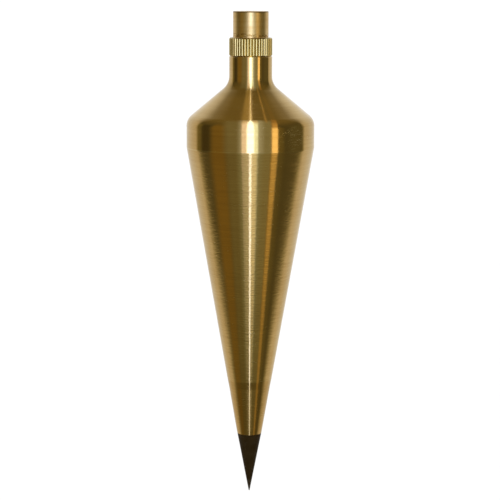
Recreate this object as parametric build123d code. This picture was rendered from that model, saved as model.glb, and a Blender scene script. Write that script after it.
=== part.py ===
from build123d import *
import os
from math import cos, pi, radians, sin, tan

# Plumb bob of about 454 g (16 oz). Millimetres, +Z up along its axis, origin at the tip of the point.
# It comes apart into three turned pieces: a solid brass body, a knurled brass cap that the line hangs
# from, and a steel point. The cap and the point each end in a threaded stud that screws into the body.

# Heights above the tip
POINT_LENGTH = 17.64
WITNESS_BOTTOM = 32.0
WITNESS_TOP = 34.2
BAND_BOTTOM = 102.52
BAND_TOP = 110.56
NECK_BOTTOM = 120.83
NECK_TOP = 128.78
KNURL_TOP = 134.0
CAP_TOP = 141.5

# Outer radii
POINT_RADIUS = 3.51
BRASS_END_RADIUS = 3.6
BAND_RADIUS = 18.46
NECK_RADIUS = 6.18
KNURL_RADIUS = 6.2
STEM_RADIUS = 5.08

# Rounds and edge breaks
TIP_ROUND = 0.12
JOINT_EDGE_BREAK = 0.12
BAND_EDGE_ROUND = 0.2
SHOULDER_ROUND = 3.8
NECK_FILLET = 4.65
NECK_EDGE_BREAK = 0.2
STEM_FILLET = 0.3
STEM_EDGE_ROUND = 0.2

# Below the witness mark the taper was cut a second time, with the point in place, this much smaller
WITNESS_STEP = 0.06

# Straight knurl of the cap: rounded crests and roots, with each one's share of the tooth spacing
KNURL_TEETH = 44
KNURL_DEPTH = 0.26
KNURL_CREST_SHARE = 0.64
KNURL_ROOT_SHARE = 0.08
KNURL_CREST_ROUND = 0.11
KNURL_ROOT_ROUND = 0.02
KNURL_CHAMFER = 0.3

# Way of the line through the cap: a hole with a rounded mouth, above a cavity for the knot
LINE_HOLE_RADIUS = 1.2
LINE_HOLE_MOUTH_ROUND = 0.4
KNOT_CAVITY_RADIUS = 2.4
KNOT_CAVITY_TOP = 135.3
DRILL_HALF_ANGLE = 59.0

# Threads. The crests of a stud pass inside the crests of its socket, so a straight pull frees it
CREST_CLEARANCE = 0.06
CAP_THREAD_PITCH = 1.0
CAP_STUD_RADIUS = 3.85
CAP_STUD_LENGTH = 8.5
CAP_SOCKET_DEPTH = 11.0
POINT_THREAD_PITCH = 0.7
POINT_STUD_RADIUS = 2.0
POINT_STUD_LENGTH = 8.0
POINT_SOCKET_DEPTH = 10.0
UNTHREADED_LENGTH = 1.0
MOUTH_ALLOWANCE = 0.08
SWEEP_OVERLAP = 0.04
CUT_OVERRUN = 1.0


def turned(points, rounds=None):
    """Solid turned about Z from a closed outline of (radius, height) points, some with a round."""
    radii = [(rounds or {}).get(number, 0) for number in range(len(points))]
    outline = FilletPolyline(*points, radius=radii, close=True)
    return revolve(Plane.XZ * make_face(outline), Axis.Z)


def thread_depth(pitch):
    """Depth of a 60 degree thread with crests an eighth and roots a quarter of the pitch wide."""
    return 0.625 * pitch / (2 * tan(radians(30)))


def thread_ridge(base_radius, pitch, bottom, top):
    """Right-hand helical ridge that stands out from the base radius, between two heights."""
    half_base, half_crest = pitch * 3 / 8, pitch / 16
    inner, crest = base_radius - SWEEP_OVERLAP, base_radius + thread_depth(pitch)
    corners = [(inner, -half_base), (crest, -half_crest), (crest, half_crest), (inner, half_base)]
    section = make_face(Polyline(*corners, close=True))
    helix = Helix(pitch=pitch, height=top - bottom, radius=base_radius)
    ridge = sweep(Plane.XZ * section, path=helix, is_frenet=True)
    return Pos(0, 0, bottom) * ridge


def stud(radius, length, pitch):
    """Threaded stud that stands up from z = 0, plain at its foot and chamfered at its end."""
    depth = thread_depth(pitch)
    core_radius = radius - depth
    foot = UNTHREADED_LENGTH
    core = turned([(0, 0), (core_radius, 0), (core_radius, length), (0, length)])
    limits = turned(
        [
            (0, foot),
            (core_radius, foot),
            (radius, foot + depth),
            (radius, length - depth),
            (core_radius, length),
            (0, length),
        ]
    )
    ridge = thread_ridge(core_radius, pitch, 0, length + pitch)
    return core + (ridge & limits)


def socket(stud_radius, depth, pitch):
    """Solid to cut for a tapped blind hole that goes up from its mouth at z = 0 to a drill point."""
    radius = stud_radius + CREST_CLEARANCE
    root_radius = radius + thread_depth(pitch)
    mouth_radius = root_radius + MOUTH_ALLOWANCE
    drill_tip = depth + radius / tan(radians(DRILL_HALF_ANGLE))
    hole = turned(
        [
            (0, -CUT_OVERRUN),
            (mouth_radius, -CUT_OVERRUN),
            (mouth_radius, 0),
            (radius, mouth_radius - radius),
            (radius, depth),
            (0, drill_tip),
        ]
    )
    threaded_end = depth - UNTHREADED_LENGTH
    limits = turned([(0, 0), (root_radius, 0), (root_radius, threaded_end), (0, threaded_end)])
    ridge = thread_ridge(radius, pitch, -pitch, depth)
    return hole + (ridge & limits)


def upside_down(height, solid):
    """A solid made upwards from z = 0, turned over to hang down from a height."""
    return Pos(0, 0, height) * Rot(180, 0, 0) * solid


def polar(radius, angle):
    """Point at a radius and an angle in radians about Z."""
    return (radius * cos(angle), radius * sin(angle))


def knurled_outline():
    """Closed outline of the knurl, seen along the axis."""
    spacing = 2 * pi / KNURL_TEETH
    half_crest = spacing * KNURL_CREST_SHARE / 2
    half_root = spacing * KNURL_ROOT_SHARE / 2
    root_radius = KNURL_RADIUS - KNURL_DEPTH
    crest_edge = KNURL_RADIUS - KNURL_CREST_ROUND
    root_edge = root_radius + KNURL_ROOT_ROUND
    edges = []
    for tooth in range(KNURL_TEETH):
        crest = tooth * spacing
        root = crest + spacing / 2
        crest_start, crest_end = polar(crest_edge, crest - half_crest), polar(crest_edge, crest + half_crest)
        root_start, root_end = polar(root_edge, root - half_root), polar(root_edge, root + half_root)
        next_crest = polar(crest_edge, crest + spacing - half_crest)
        edges += [
            ThreePointArc(crest_start, polar(KNURL_RADIUS, crest), crest_end),
            Line(crest_end, root_start),
            ThreePointArc(root_start, polar(root_radius, root), root_end),
            Line(root_end, next_crest),
        ]
    return make_face(Wire(edges))


def make_body():
    """Brass body: long taper, band, shoulder and neck, with a tapped socket at each end."""
    taper = (BAND_RADIUS - BRASS_END_RADIUS) / (BAND_BOTTOM - POINT_LENGTH)
    witness_bottom_radius = BRASS_END_RADIUS + taper * (WITNESS_BOTTOM - POINT_LENGTH) - WITNESS_STEP
    witness_top_radius = BRASS_END_RADIUS + taper * (WITNESS_TOP - POINT_LENGTH)
    blank = turned(
        [
            (0, POINT_LENGTH),
            (BRASS_END_RADIUS - JOINT_EDGE_BREAK, POINT_LENGTH),
            (BRASS_END_RADIUS, POINT_LENGTH + JOINT_EDGE_BREAK),
            (witness_bottom_radius, WITNESS_BOTTOM),
            (witness_top_radius, WITNESS_TOP),
            (BAND_RADIUS, BAND_BOTTOM),
            (BAND_RADIUS, BAND_TOP),
            (NECK_RADIUS, NECK_BOTTOM),
            (NECK_RADIUS, NECK_TOP - NECK_EDGE_BREAK),
            (NECK_RADIUS - NECK_EDGE_BREAK, NECK_TOP),
            (0, NECK_TOP),
        ],
        rounds={5: BAND_EDGE_ROUND, 6: SHOULDER_ROUND, 7: NECK_FILLET},
    )
    cap_socket = socket(CAP_STUD_RADIUS, CAP_SOCKET_DEPTH, CAP_THREAD_PITCH)
    point_socket = socket(POINT_STUD_RADIUS, POINT_SOCKET_DEPTH, POINT_THREAD_PITCH)
    return blank - upside_down(NECK_TOP, cap_socket) - Pos(0, 0, POINT_LENGTH) * point_socket


def make_cap():
    """Brass cap: knurled ring, smooth stem and threaded stud, drilled through for the line and its knot."""
    height = KNURL_TOP - NECK_TOP
    teeth = Pos(0, 0, NECK_TOP) * extrude(knurled_outline(), height)
    chamfered_disc = turned(
        [
            (0, NECK_TOP),
            (KNURL_RADIUS - KNURL_CHAMFER, NECK_TOP),
            (KNURL_RADIUS, NECK_TOP + KNURL_CHAMFER),
            (KNURL_RADIUS, KNURL_TOP - KNURL_CHAMFER),
            (KNURL_RADIUS - KNURL_CHAMFER, KNURL_TOP),
            (0, KNURL_TOP),
        ]
    )
    flare_radius = STEM_RADIUS + 2 * STEM_FILLET
    stem = turned(
        [
            (0, NECK_TOP),
            (flare_radius, NECK_TOP),
            (flare_radius, KNURL_TOP),
            (STEM_RADIUS, KNURL_TOP),
            (STEM_RADIUS, CAP_TOP),
            (0, CAP_TOP),
        ],
        rounds={3: STEM_FILLET, 4: STEM_EDGE_ROUND},
    )
    threaded_end = upside_down(NECK_TOP, stud(CAP_STUD_RADIUS, CAP_STUD_LENGTH, CAP_THREAD_PITCH))
    below, above = NECK_TOP - CAP_STUD_LENGTH - CUT_OVERRUN, CAP_TOP + CUT_OVERRUN
    cavity_cone = (KNOT_CAVITY_RADIUS - LINE_HOLE_RADIUS) / tan(radians(DRILL_HALF_ANGLE))
    mouth_radius = LINE_HOLE_RADIUS + 2 * LINE_HOLE_MOUTH_ROUND
    line_way = turned(
        [
            (0, below),
            (KNOT_CAVITY_RADIUS, below),
            (KNOT_CAVITY_RADIUS, KNOT_CAVITY_TOP),
            (LINE_HOLE_RADIUS, KNOT_CAVITY_TOP + cavity_cone),
            (LINE_HOLE_RADIUS, CAP_TOP),
            (mouth_radius, CAP_TOP),
            (mouth_radius, above),
            (0, above),
        ],
        rounds={4: LINE_HOLE_MOUTH_ROUND},
    )
    return (teeth & chamfered_disc) + stem + threaded_end - line_way


def make_point():
    """Steel point: a cone with a slightly blunted tip, and a threaded stud above it."""
    cone = turned(
        [
            (0, 0),
            (TIP_ROUND, 0),
            (POINT_RADIUS, POINT_LENGTH - JOINT_EDGE_BREAK),
            (POINT_RADIUS - JOINT_EDGE_BREAK, POINT_LENGTH),
            (0, POINT_LENGTH),
        ],
        rounds={1: TIP_ROUND},
    )
    return cone + Pos(0, 0, POINT_LENGTH) * stud(POINT_STUD_RADIUS, POINT_STUD_LENGTH, POINT_THREAD_PITCH)


os.makedirs("parts", exist_ok=True)
pieces = {"body": make_body(), "cap": make_cap(), "point": make_point()}
for name, piece in pieces.items():
    export_step(piece, f"parts/{name}.step")
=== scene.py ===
import math

import bpy
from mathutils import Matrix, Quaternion, Vector


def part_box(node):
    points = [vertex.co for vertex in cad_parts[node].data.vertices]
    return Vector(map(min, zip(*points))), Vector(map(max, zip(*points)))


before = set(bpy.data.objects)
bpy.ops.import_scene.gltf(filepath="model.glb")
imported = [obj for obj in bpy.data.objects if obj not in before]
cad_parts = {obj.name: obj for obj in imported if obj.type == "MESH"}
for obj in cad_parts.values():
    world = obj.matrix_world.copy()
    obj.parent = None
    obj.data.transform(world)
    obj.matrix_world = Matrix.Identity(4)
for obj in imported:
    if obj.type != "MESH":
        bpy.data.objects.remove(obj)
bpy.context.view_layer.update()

MM = 0.001


# ---------------------------------------------------------------- node helpers


class Graph:
    """Short ways to add and join the nodes of one node tree."""

    def __init__(self, tree):
        self.tree = tree
        tree.nodes.clear()

    def add(self, kind, values=None, **settings):
        """A new node, with its settings and its inputs' values or links."""
        node = self.tree.nodes.new(kind)
        for name, value in settings.items():
            setattr(node, name, value)
        for name, value in (values or {}).items():
            self.feed(node.inputs[name], value)
        return node

    def feed(self, socket, value):
        """Links a socket to an output, or sets its value."""
        if isinstance(value, bpy.types.NodeSocket):
            self.tree.links.new(value, socket)
        else:
            socket.default_value = value

    def math(self, operation, *values):
        node = self.add("ShaderNodeMath", operation=operation)
        for socket, value in zip(node.inputs, values):
            self.feed(socket, value)
        return node.outputs[0]

    def total(self, first, *others):
        for other in others:
            first = self.math("ADD", first, other)
        return first

    def product(self, first, *others):
        for other in others:
            first = self.math("MULTIPLY", first, other)
        return first

    def parts(self, vector):
        """The x, y and z of a vector."""
        return self.add("ShaderNodeSeparateXYZ", {0: vector}).outputs

    def vector_math(self, operation, *vectors):
        node = self.add("ShaderNodeVectorMath", operation=operation)
        for socket, vector in zip(node.inputs, vectors):
            self.feed(socket, vector)
        return node.outputs["Value" if operation == "DISTANCE" else "Vector"]

    def fade(self, value, low, high, to_low=0.0, to_high=1.0):
        """Smooth step of a value from to_low at low to to_high at high."""
        node = self.add(
            "ShaderNodeMapRange",
            {"Value": value, "From Min": low, "From Max": high, "To Min": to_low, "To Max": to_high},
            interpolation_type="SMOOTHSTEP",
        )
        return node.outputs[0]

    def window(self, value, low, high, soft):
        """1 between low and high and 0 outside, with soft edges this far each way."""
        rise = self.fade(value, low - soft, low + soft)
        fall = self.fade(value, high - soft, high + soft, 1.0, 0.0)
        return self.product(rise, fall)

    def noise(self, vector, scale, detail=2.0, roughness=0.5):
        values = {"Vector": vector, "Scale": scale, "Detail": detail, "Roughness": roughness}
        return self.add("ShaderNodeTexNoise", values).outputs[0]

    def between(self, share, first, second):
        """Number between first and second."""
        node = self.add("ShaderNodeMix", data_type="FLOAT")
        self.feed(node.inputs[0], share)
        self.feed(node.inputs[2], first)
        self.feed(node.inputs[3], second)
        return node.outputs[0]

    def mix(self, share, first, second):
        """Colour or light between first and second."""
        node = self.add("ShaderNodeMix", data_type="VECTOR")
        self.feed(node.inputs[0], share)
        self.feed(node.inputs[4], first)
        self.feed(node.inputs[5], second)
        return node.outputs[1]


# ---------------------------------------------------------------- sweep, light and camera

FLOOR_HEIGHT = -0.35
SWEEP_FLOOR_RADIUS = 1.6
SWEEP_CURVE = 0.9
SWEEP_WALL_TOP = 2.6
SWEEP_FLOOR_RINGS = 4
SWEEP_CURVE_RINGS = 16
SWEEP_SIDES = 96
PAPER_TONE = (0.3, 0.3, 0.3, 1.0)
PAPER_GLOW = 0.72

OVERHEAD_PLACE = (-0.3, -0.4, 1.9)
OVERHEAD_WIDTH = 1.4
OVERHEAD_POWER = 26.0

CAMERA_TARGET_HEIGHT = 72.4 * MM
CAMERA_DISTANCE = 525.3 * MM
CAMERA_ELEVATION = math.radians(8.7)
CAMERA_ROLL = math.radians(0.21)
CAMERA_LENS = 129.6


def sweep_profile():
    """Radius and height of each ring of the sweep, from near its middle to the top of its wall."""
    profile = []
    for ring in range(1, SWEEP_FLOOR_RINGS + 1):
        profile.append((SWEEP_FLOOR_RADIUS * ring / SWEEP_FLOOR_RINGS, FLOOR_HEIGHT))
    for ring in range(1, SWEEP_CURVE_RINGS + 1):
        angle = math.pi / 2 * ring / SWEEP_CURVE_RINGS
        radius = SWEEP_FLOOR_RADIUS + SWEEP_CURVE * math.sin(angle)
        profile.append((radius, FLOOR_HEIGHT + SWEEP_CURVE - SWEEP_CURVE * math.cos(angle)))
    profile.append((SWEEP_FLOOR_RADIUS + SWEEP_CURVE, SWEEP_WALL_TOP))
    return profile


def make_paper():
    """Matt pale paper, which glows so that it stays even."""
    material = bpy.data.materials.new("pale_paper")
    material.use_nodes = True
    graph = Graph(material.node_tree)
    paper = graph.add(
        "ShaderNodeBsdfPrincipled",
        {
            "Base Color": PAPER_TONE,
            "Roughness": 0.9,
            "Specular IOR Level": 0.0,
            "Emission Color": (1.0, 1.0, 1.0, 1.0),
            "Emission Strength": PAPER_GLOW,
        },
    )
    graph.add("ShaderNodeOutputMaterial", {"Surface": paper.outputs[0]})
    return material


def make_sweep():
    """A round sweep: a floor that curves up into a wall on every side. The metal doesn't mirror it."""
    profile = sweep_profile()
    points = [(0.0, 0.0, FLOOR_HEIGHT)]
    for radius, height in profile:
        for side in range(SWEEP_SIDES):
            angle = 2 * math.pi * side / SWEEP_SIDES
            points.append((radius * math.cos(angle), radius * math.sin(angle), height))
    faces = [(0, 1 + side, 1 + (side + 1) % SWEEP_SIDES) for side in range(SWEEP_SIDES)]
    for ring in range(len(profile) - 1):
        near, far = 1 + ring * SWEEP_SIDES, 1 + (ring + 1) * SWEEP_SIDES
        for side in range(SWEEP_SIDES):
            after = (side + 1) % SWEEP_SIDES
            faces.append((near + side, far + side, far + after, near + after))
    mesh = bpy.data.meshes.new("studio_sweep")
    mesh.from_pydata(points, [], faces)
    mesh.shade_smooth()
    mesh.materials.append(make_paper())
    sweep = bpy.data.objects.new("studio_sweep", mesh)
    sweep.visible_glossy = False
    bpy.context.scene.collection.objects.link(sweep)


def make_overhead_light():
    """A large soft light above, which gives the floor its soft shadow."""
    data = bpy.data.lights.new("overhead_softbox", "AREA")
    data.shape = "DISK"
    data.size = OVERHEAD_WIDTH
    data.energy = OVERHEAD_POWER
    light = bpy.data.objects.new("overhead_softbox", data)
    light.location = OVERHEAD_PLACE
    light.rotation_mode = "QUATERNION"
    light.rotation_quaternion = light.location.to_track_quat("Z", "Y")
    light.visible_glossy = False
    light.visible_camera = False
    bpy.context.scene.collection.objects.link(light)


def make_camera():
    """A long lens a little above the bob's middle, looking along +Y."""
    data = bpy.data.cameras.new("camera")
    data.lens = CAMERA_LENS
    camera = bpy.data.objects.new("camera", data)
    back = Vector((0.0, -math.cos(CAMERA_ELEVATION), math.sin(CAMERA_ELEVATION)))
    camera.location = Vector((0.0, 0.0, CAMERA_TARGET_HEIGHT)) + back * CAMERA_DISTANCE
    camera.rotation_mode = "QUATERNION"
    roll = Quaternion((0.0, 0.0, 1.0), CAMERA_ROLL)
    camera.rotation_quaternion = (-back).to_track_quat("-Z", "Y") @ roll
    bpy.context.scene.collection.objects.link(camera)
    bpy.context.scene.camera = camera
    bpy.context.scene.view_settings.view_transform = "Standard"


# ---------------------------------------------------------------- room that the metal mirrors

# Azimuth 0 is the front and +90 is +X. A panel is its left, right, bottom and top, how soft its sides
# and its ends are, all in degrees, then its light. Each one covers those before it
ROOM = (0.085, 0.07, 0.028)
ROOM_PANELS = (
    (-400, 400, 38, 400, 20, 24, (0.17, 0.125, 0.04)),  # upper room
    (76, 400, -17, 22, 12, 6, (0.11, 0.092, 0.037)),  # right side
    (-111, -79, -15, 22, 5, 6, (0.06, 0.047, 0.018)),  # black flag on the left
    (-116, -99, -15, 22, 5, 6, (0.16, 0.13, 0.045)),  # lit edge of the black flag
    (-74, -44, -17, 34, 7, 18, (0.2, 0.127, 0.027)),  # brown panel on the left
    (-79, -46, -60, -17, 10, 4, (0.185, 0.115, 0.024)),  # foot of the brown panel
    (-46, 0, -90, -17, 7, 6, (0.16, 0.133, 0.055)),  # olive room in front, low on the left
    (0, 39, -90, -17, 3, 6, (0.235, 0.207, 0.1)),  # olive room in front, low on the right
    (-22, 21, -90, 0, 8, 10, (0.25, 0.25, 0.15)),  # glow round the foot of the key light
    (-95, 95, -90, -31, 20, 6, (0.1, 0.083, 0.028)),  # dark floor in front
    (-12, 0, -30, -17, 4, 4, (0.38, 0.38, 0.22)),  # foot of the key light's peach flag
    (0, 12, -29.5, -17, 2.5, 4, (0.87, 0.72, 0.48)),  # foot of its cream flag
    (46, 62, -17, 15, 5, 5, (0.14, 0.108, 0.033)),  # dim room right of the orange lamp
    (44, 64, -60, -17, 8, 4, (0.12, 0.096, 0.033)),  # the same, lower
    (39.5, 51, -29, -17, 2.5, 5, (0.44, 0.285, 0.07)),  # foot of the orange lamp
    (40, 51, -60, -29, 4, 3, (0.3, 0.2, 0.06)),  # the orange lamp's light on the floor
)

# These are placed by the surface that mirrors them to the front, which is a little up: across is twice
# the surface's turn, and up is its tilt. Such panels lean out overhead
FRONT_ELEVATION = math.radians(4.2)
LEANING_PANELS = (
    (-47, 0, -6.4, 42, 9, 6, (0.2, 0.175, 0.088)),  # olive room in front, on the left
    (0, 39, -6.4, 42, 3, 6, (0.265, 0.25, 0.15)),  # olive room in front, on the right
    (-20, 22, -6.4, 44, 6, 6, (0.4, 0.41, 0.36)),  # glow round the key light
    (-15.6, 0, 20, 44, 1.2, 5, (0.75, 0.6, 0.42)),  # upper part of its peach flag
    (-15.6, 0, -8, 34, 1.2, 8, (1.08, 0.95, 0.95)),  # peach flag
    (0, 13.6, 20, 44, 1.2, 5, (0.75, 0.62, 0.45)),  # upper part of its cream flag
    (0, 13.6, -8, 34, 1.2, 8, (1.19, 1.37, 1.36)),  # cream flag
    (40, 50, 20, 47, 2.5, 5, (0.36, 0.21, 0.06)),  # upper part of the orange lamp
    (39.5, 50, 0, 32, 2, 8, (0.62, 0.38, 0.12)),  # orange lamp
    (38.8, 50.2, -8, 11, 1.2, 6, (1.36, 0.96, 0.44)),  # brightest part of the orange lamp
    (-5.4, 5.4, 0, 38, 1.2, 6, (1.9, 2.0, 2.3)),  # dimmer sides of the key light, higher up
    (28.4, 31.4, 36, 80, 1.2, 8, (0.42, 0.28, 0.1)),  # thin lamp overhead
)

KEY_PANELS = (
    (-6.3, 6.3, -17, 89, 1.0, 2, (2.4, 2.6, 3.4)),  # key light
    (-2.2, 1.8, -60, -17, 0.9, 2, (1.75, 1.95, 2.7)),  # its thin foot
    (-2.2, 1.8, -60, -30, 0.9, 3, (1.35, 1.45, 1.9)),  # dimmer end of its foot
)

# White wall behind: its edges and middle, in degrees either side of the front, and its top as height
# over distance. A part of its light is a glow that reaches higher
WALL_TURN = 0.5
WALL_EDGE = 111.2
WALL_EDGE_SOFTNESS = 5.0
WALL_MIDDLE = 145.0
WALL_TOP = 1.14
WALL_TOP_SOFTNESS = 0.62
WALL_SHARE = 0.76
WALL_GLOW_BOTTOM = 0.7
WALL_GLOW_TOP = 3.8
WALL_GLOW_SHARE = 0.24
WALL_OUTLINE_LIGHT = (0.52, 0.44, 0.2)
WALL_EDGE_LIGHT = (0.56, 0.49, 0.38)
WALL_MIDDLE_LIGHT = (0.64, 0.61, 0.57)
WALL_BACK_LIGHT = (0.89, 0.89, 0.89)

# White table below the wall, in degrees. Its edges come forward by the square of how far below its top
# they are
TABLE_TOP = -12.0
TABLE_CURVE = 0.115
TABLE_REACH = 23.0
TABLE_SOFTENING = 0.7
TABLE_DIMMING_STARTS = 14.0
TABLE_DIMMING_ENDS = 22.0
TABLE_DIMMING = 0.31

# Strips on the ceiling behind the bob: left, right and how soft these sides are, over height, then the
# light. They fade in between two sines of the elevation, and between two distances back, over height
CEILING_RISE = (0.6, 0.7)
CEILING_START = (-0.04, 0.04)
CEILING_STRIPS = (
    (-0.135, 0.02, 0.04, (0.36, 0.26, 0.092)),  # wide brown strip
    (-0.012, 0.012, 0.005, (1.4, 1.25, 1.0)),  # thin white line
)

# Least height or distance that another is divided by
LEAST = 0.001


def bearing(graph, direction):
    """Azimuth and elevation of a direction, in degrees."""
    x, y, z = graph.parts(direction)
    azimuth = graph.math("DEGREES", graph.math("ARCTAN2", x, graph.product(y, -1.0)))
    return azimuth, graph.math("DEGREES", graph.math("ARCSINE", z))


def paint(graph, light, across, up, panels):
    """The light with these panels painted over it."""
    for left, right, low, high, across_soft, up_soft, glow in panels:
        beside = graph.window(across, left, right, across_soft)
        above = graph.window(up, low, high, up_soft)
        light = graph.mix(graph.product(beside, above), light, glow)
    return light


def add_wall(graph, light, azimuth, elevation, y, z):
    """A white wall behind the bob, and the white table that runs forward from it, below."""
    side = graph.math("ABSOLUTE", graph.total(azimuth, WALL_TURN))
    below = graph.math("MAXIMUM", graph.math("SUBTRACT", TABLE_TOP, elevation), 0.0)
    forward = graph.product(graph.math("POWER", below, 2.0), TABLE_CURVE)
    forward = graph.math("MINIMUM", forward, TABLE_REACH)
    past_edge = graph.total(graph.math("SUBTRACT", side, WALL_EDGE), forward)
    softness = graph.math("MULTIPLY_ADD", below, TABLE_SOFTENING, WALL_EDGE_SOFTNESS)
    across = graph.fade(graph.math("DIVIDE", past_edge, softness), -1.0, 1.0)

    rise = graph.math("DIVIDE", z, graph.math("MAXIMUM", y, LEAST))
    up = graph.total(
        graph.fade(rise, WALL_TOP - WALL_TOP_SOFTNESS, WALL_TOP + WALL_TOP_SOFTNESS, WALL_SHARE, 0.0),
        graph.fade(rise, WALL_GLOW_BOTTOM, WALL_GLOW_TOP, WALL_GLOW_SHARE, 0.0),
    )

    glow = graph.mix(graph.fade(side, WALL_EDGE, WALL_MIDDLE), WALL_EDGE_LIGHT, WALL_MIDDLE_LIGHT)
    glow = graph.mix(graph.fade(side, WALL_MIDDLE, 180.0), glow, WALL_BACK_LIGHT)
    glow = graph.mix(across, WALL_OUTLINE_LIGHT, glow)
    dimming = graph.fade(below, TABLE_DIMMING_STARTS, TABLE_DIMMING_ENDS, 0.0, TABLE_DIMMING)
    glow = graph.mix(dimming, glow, (0.0, 0.0, 0.0))
    return graph.mix(graph.product(across, up), light, glow)


def add_ceiling_strips(graph, light, x, y, z):
    """Strips on the ceiling that run backwards from overhead."""
    height = graph.math("MAXIMUM", z, LEAST)
    right = graph.math("DIVIDE", x, height)
    back = graph.math("DIVIDE", y, height)
    overhead = graph.fade(z, *CEILING_RISE)
    behind = graph.fade(back, *CEILING_START)
    for start, end, soft, glow in CEILING_STRIPS:
        share = graph.product(graph.window(right, start, end, soft), behind, overhead)
        light = graph.mix(share, light, glow)
    return light


def make_world():
    """The room that the metal mirrors: soft panels in front and a white wall behind, in a dark room."""
    world = bpy.data.worlds.new("studio")
    bpy.context.scene.world = world
    world.use_nodes = True
    graph = Graph(world.node_tree)
    direction = graph.add("ShaderNodeTexCoord").outputs["Generated"]
    x, y, z = graph.parts(direction)
    azimuth, elevation = bearing(graph, direction)
    front = (0.0, -math.cos(FRONT_ELEVATION), math.sin(FRONT_ELEVATION))
    mirror = graph.vector_math("NORMALIZE", graph.vector_math("ADD", direction, front))
    mirror_turn, mirror_tilt = bearing(graph, mirror)
    light = paint(graph, ROOM, azimuth, elevation, ROOM_PANELS)
    light = paint(graph, light, graph.product(mirror_turn, 2.0), mirror_tilt, LEANING_PANELS)
    light = paint(graph, light, azimuth, elevation, KEY_PANELS)
    light = add_wall(graph, light, azimuth, elevation, y, z)
    light = add_ceiling_strips(graph, light, x, y, z)
    background = graph.add("ShaderNodeBackground", {"Color": light, "Strength": 1.0})
    graph.add("ShaderNodeOutputWorld", {"Surface": background.outputs[0]})


# ---------------------------------------------------------------- materials

# Heights and radii that the finishes follow, from the frame's own boxes or as in the part's source
NECK_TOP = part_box("body")[1][2]
CAP_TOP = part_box("cap")[1][2]
KNURL_HEIGHT = 5.22 * MM
KNURL_TOP = NECK_TOP + KNURL_HEIGHT
KNURL_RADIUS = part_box("cap")[1][0]
STEM_RADIUS = 5.08 * MM
BAND_BOTTOM = 102.52 * MM
WITNESS_BOTTOM = 32.0 * MM
WITNESS_TOP = 34.2 * MM

# Painted shade darkens where the shoulder meets the neck, and thins out up the neck and down the
# shoulder
SHOULDER_UNSHADED = 116.6 * MM
CORNER_FOOT = 119.0 * MM
CORNER_TOP = 120.3 * MM
NECK_UNSHADED = 122.4 * MM

# Where something has rubbed against the band, on its right
RUB_PLACE = (11.9 * MM, -14.1 * MM, 106.8 * MM)

BRASS_BRIGHT = (0.82, 0.62, 0.3)
BRASS_DULL = (0.66, 0.46, 0.185)
# Painted shade for where the shoulder meets the neck
BRASS_CORNER_SHADE = (0.34, 0.25, 0.085)
BRASS_SCRATCHED = (0.9, 0.76, 0.46)
BODY_BUMP = 1.3e-6

STEM_BRIGHT = (1.0, 0.79, 0.44)
STEM_DULL = (0.87, 0.63, 0.25)
STEM_TOOL_MARKS = (0.55, 0.36, 0.13)
# Painted dark reflection along the stem's top edge
STEM_RIM_SHADE = (0.26, 0.17, 0.07)
CAP_FACE_MARKS = (0.72, 0.5, 0.2)
KNURL_FLANKS = (1.0, 0.83, 0.38)
# Painted highlight: the tops of the knurl's teeth are lighter
KNURL_CREST_HIGHLIGHT = (1.0, 0.9, 0.45)
# Painted shade in the knurl's roots
KNURL_ROOT_SHADE = (0.14, 0.09, 0.022)
CAP_BUMP = 1.8e-6

STEEL_BLACK = (0.0125, 0.0068, 0.0012)
STEEL_BROWN = (0.019, 0.0115, 0.0032)
STEEL_RINGS = (0.032, 0.021, 0.0085)
STEEL_RUBBED = (0.06, 0.055, 0.045)
STEEL_MIRROR_TINT = (1.0, 0.7, 0.34, 1.0)
STEEL_BUMP = 2.0e-6


class Finish(Graph):
    """The node tree of a turned metal piece, with the patterns that its finish is made of."""

    def __init__(self, name):
        self.material = bpy.data.materials.new(name)
        self.material.use_nodes = True
        super().__init__(self.material.node_tree)
        self.place = self.add("ShaderNodeTexCoord").outputs["Object"]
        x, y, self.z = self.parts(self.place)
        self.radius = self.math("SQRT", self.math("MULTIPLY_ADD", x, x, self.product(y, y)))

    def streaks(self, place, across, along, detail):
        """Noise of this size across Z and along it."""
        size = (1.0 / across, 1.0 / across, 1.0 / along)
        return self.noise(self.vector_math("MULTIPLY", place, size), 1.0, detail)

    def rings(self, spacing, wander, detail=2.0):
        """Tool rings round the axis about this far apart, each one much the same for a wander round."""
        return self.streaks(self.place, wander, spacing, detail)

    def scratches(self, tilt, spacing, length, thin, crowd):
        """Thin short scratches that all lean about one way, where a second noise lets them show."""
        leaning = {"Vector": self.place, "Angle": tilt}
        place = self.add("ShaderNodeVectorRotate", leaning, rotation_type="Y_AXIS").outputs[0]
        lines = self.streaks(place, length, spacing, 1.0)
        off_middle = self.math("ABSOLUTE", self.math("SUBTRACT", lines, 0.5))
        where = self.streaks(place, length / 0.9, spacing / 0.35, 2.0)
        shown = self.fade(where, crowd, crowd + 0.05)
        return self.product(self.fade(off_middle, 0.0, thin, 1.0, 0.0), shown)

    def bump(self, height, distance):
        node = self.add("ShaderNodeBump", {"Strength": 1.0, "Distance": distance, "Height": height})
        return node.outputs[0]

    def shaded(self, values):
        shader = self.add("ShaderNodeBsdfPrincipled", values)
        self.add("ShaderNodeOutputMaterial", {"Surface": shader.outputs[0]})
        return self.material


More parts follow.
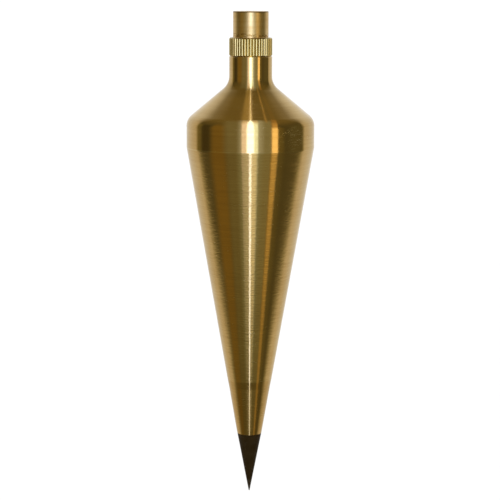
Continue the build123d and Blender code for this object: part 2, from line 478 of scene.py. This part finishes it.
def make_body_brass():
    """Bright turned brass: tool rings, light scratches, thin tarnish, painted shade where the shoulder
    meets the neck, and edges polished by handling.
    """
    finish = Finish("body_brass_turned")
    fine = finish.rings(0.11 * MM, 25 * MM, 3.0)
    middle = finish.rings(0.45 * MM, 30 * MM)
    wide = finish.rings(1.6 * MM, 60 * MM)
    on_taper = finish.fade(finish.z, BAND_BOTTOM - 0.3 * MM, BAND_BOTTOM, 1.0, 0.0)
    beads = finish.product(finish.rings(0.36 * MM, 1.6 * MM, 1.0), on_taper)
    tarnish = finish.noise(finish.place, 90.0, 4.0, 0.55)
    scratches = finish.total(
        finish.scratches(0.05, 0.35 * MM, 3.0 * MM, 0.012, 0.62),
        finish.scratches(-0.35, 0.4 * MM, 4.0 * MM, 0.01, 0.64),
    )
    rub_distance = finish.vector_math("DISTANCE", finish.place, RUB_PLACE)
    rubbed = finish.product(
        finish.scratches(0.1, 0.5 * MM, 5.0 * MM, 0.045, 0.46),
        finish.fade(rub_distance, 2.4 * MM, 5.2 * MM, 1.0, 0.0),
    )
    scratches = finish.math("MAXIMUM", finish.product(scratches, 0.55), rubbed)
    edges = finish.total(
        finish.window(finish.z, BAND_BOTTOM - 0.15 * MM, BAND_BOTTOM + 0.2 * MM, 0.1 * MM),
        finish.fade(finish.z, NECK_TOP - 0.5 * MM, NECK_TOP - 0.2 * MM),
    )
    worn_edges = finish.product(edges, finish.fade(tarnish, 0.4, 0.65, 0.1, 0.6))
    recut = finish.fade(finish.z, WITNESS_BOTTOM, WITNESS_TOP, 1.0, 0.0)
    witness = finish.window(finish.z, WITNESS_BOTTOM, WITNESS_TOP, 0.3 * MM)
    # Painted shade: darker where the shoulder meets the neck
    corner_shade = finish.product(
        finish.fade(finish.z, SHOULDER_UNSHADED, CORNER_FOOT),
        finish.fade(finish.z, CORNER_TOP, NECK_UNSHADED, 1.0, 0.0),
    )

    dullness = finish.total(
        finish.fade(fine, 0.3, 0.7, 0.0, 0.28),
        finish.fade(middle, 0.35, 0.7, 0.0, 0.15),
        finish.fade(wide, 0.4, 0.7, 0.0, 0.1),
        finish.fade(tarnish, 0.35, 0.75, 0.0, 0.3),
        finish.product(witness, 0.55),
        finish.product(recut, 0.62),
    )
    tone = finish.mix(dullness, BRASS_BRIGHT, BRASS_DULL)
    # Paints that shade in where the shoulder meets the neck
    tone = finish.mix(finish.product(corner_shade, 0.32), tone, BRASS_CORNER_SHADE)
    tone = finish.mix(finish.math("MAXIMUM", scratches, worn_edges), tone, BRASS_SCRATCHED)

    rough = finish.total(
        finish.fade(tarnish, 0.3, 0.75, 0.09, 0.125),
        finish.fade(fine, 0.3, 0.7, -0.025, 0.025),
        finish.fade(middle, 0.3, 0.7, -0.025, 0.04),
        finish.product(recut, 0.04),
        finish.product(scratches, 0.3),
    )

    height = finish.total(fine, finish.product(middle, 2.6), finish.product(beads, 11.0))
    height = finish.math("SUBTRACT", height, finish.product(scratches, 1.5))
    tangent = finish.add("ShaderNodeTangent", direction_type="RADIAL", axis="Z")
    return finish.shaded(
        {
            "Base Color": tone,
            "Metallic": 1.0,
            "Roughness": rough,
            "Anisotropic": 0.6,
            "Anisotropic Rotation": 0.25,
            "Tangent": tangent.outputs[0],
            "Normal": finish.bump(height, BODY_BUMP),
        }
    )


def make_cap_brass():
    """Brass of the cap: a soft turned stem, and a crisp knurl with a painted highlight on the tops of
    its teeth and painted shade in its roots.
    """
    finish = Finish("cap_brass_turned")
    fine = finish.rings(0.12 * MM, 8 * MM, 3.0)
    wide = finish.rings(0.6 * MM, 12 * MM)
    tarnish = finish.noise(finish.place, 260.0, 4.0, 0.6)
    knurl = finish.window(finish.z, NECK_TOP, KNURL_TOP, 0.05 * MM)
    depth = finish.math("SUBTRACT", KNURL_RADIUS, finish.radius)
    # Painted highlight on the tops of the knurl's teeth
    crest_highlight = finish.product(knurl, finish.fade(depth, 0.02 * MM, 0.09 * MM, 1.0, 0.0))
    # Painted shade in the knurl's roots, patchy with the tarnish noise
    root_shade = finish.product(
        knurl,
        finish.fade(depth, 0.1 * MM, 0.21 * MM),
        finish.fade(tarnish, 0.25, 0.6, 0.6, 1.0),
    )
    tool_marks = finish.product(
        finish.window(finish.z, KNURL_TOP, KNURL_TOP + 1.3 * MM, 0.25 * MM),
        finish.fade(finish.rings(0.3 * MM, 1.2 * MM), 0.45, 0.6),
    )
    # Painted dark reflection: the stem's top edge is darkened
    rim_shade = finish.product(
        finish.fade(finish.z, CAP_TOP - 0.45 * MM, CAP_TOP - 0.2 * MM),
        finish.fade(finish.radius, STEM_RADIUS - 0.45 * MM, STEM_RADIUS - 0.2 * MM),
    )
    outward = finish.add("ShaderNodeCombineXYZ", {0: finish.radius}).outputs[0]
    face_marks = finish.product(
        finish.noise(outward, 1.0 / (0.2 * MM), 3.0),
        finish.fade(finish.z, CAP_TOP - 0.06 * MM, CAP_TOP - 0.02 * MM),
    )

    dullness = finish.total(
        finish.fade(wide, 0.3, 0.7, 0.0, 0.4),
        finish.fade(tarnish, 0.35, 0.75, 0.0, 0.4),
    )
    tone = finish.mix(dullness, STEM_BRIGHT, STEM_DULL)
    tone = finish.mix(tool_marks, tone, STEM_TOOL_MARKS)
    tone = finish.mix(finish.fade(face_marks, 0.45, 0.65, 0.0, 0.8), tone, CAP_FACE_MARKS)
    # painted dark reflection on the stem's top edge
    tone = finish.mix(finish.product(rim_shade, 0.8), tone, STEM_RIM_SHADE)
    tone = finish.mix(knurl, tone, KNURL_FLANKS)
    # painted highlight on the tops of the teeth
    tone = finish.mix(crest_highlight, tone, KNURL_CREST_HIGHLIGHT)
    # painted shade in the roots of the knurl
    tone = finish.mix(root_shade, tone, KNURL_ROOT_SHADE)

    stem_rough = finish.total(
        finish.fade(tarnish, 0.3, 0.75, 0.34, 0.42),
        finish.fade(fine, 0.3, 0.7, -0.04, 0.04),
    )
    height = finish.total(fine, finish.product(wide, 1.5))
    height = finish.math("SUBTRACT", height, finish.product(tool_marks, 4.0))
    height = finish.total(height, finish.product(face_marks, 5.0))
    return finish.shaded(
        {
            "Base Color": tone,
            "Metallic": 1.0,
            "Roughness": finish.between(knurl, stem_rough, 0.15),
            "Normal": finish.bump(height, CAP_BUMP),
        }
    )


def make_steel():
    """Blackened steel: faint tool rings, brown patches, and the black rubbed grey towards the tip."""
    finish = Finish("point_black_steel")
    rings = finish.rings(0.14 * MM, 16 * MM, 3.0)
    patches = finish.noise(finish.place, 300.0, 4.0, 0.6)
    scratches = finish.scratches(0.6, 0.3 * MM, 2.5 * MM, 0.02, 0.52)
    tip = finish.product(
        finish.fade(finish.z, 1.0 * MM, 5.0 * MM, 1.0, 0.0),
        finish.fade(patches, 0.35, 0.6),
    )
    rubbed = finish.math("MAXIMUM", finish.product(scratches, 0.6), tip)
    tone = finish.mix(finish.fade(patches, 0.35, 0.7), STEEL_BLACK, STEEL_BROWN)
    tone = finish.mix(finish.fade(rings, 0.5, 0.75, 0.0, 0.5), tone, STEEL_RINGS)
    tone = finish.mix(rubbed, tone, STEEL_RUBBED)
    height = finish.math("SUBTRACT", rings, scratches)
    return finish.shaded(
        {
            "Base Color": tone,
            "Metallic": 0.0,
            "Roughness": finish.fade(patches, 0.3, 0.7, 0.5, 0.62),
            "Specular IOR Level": 0.19,
            "Specular Tint": STEEL_MIRROR_TINT,
            "Normal": finish.bump(height, STEEL_BUMP),
        }
    )


# ---------------------------------------------------------------- scene

make_camera()
make_sweep()
make_overhead_light()
make_world()

body_brass = make_body_brass()
cap_brass = make_cap_brass()
point_steel = make_steel()
for node, material in (("body", body_brass), ("cap", cap_brass), ("point", point_steel)):
    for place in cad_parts[node].material_slots:
        place.material = material
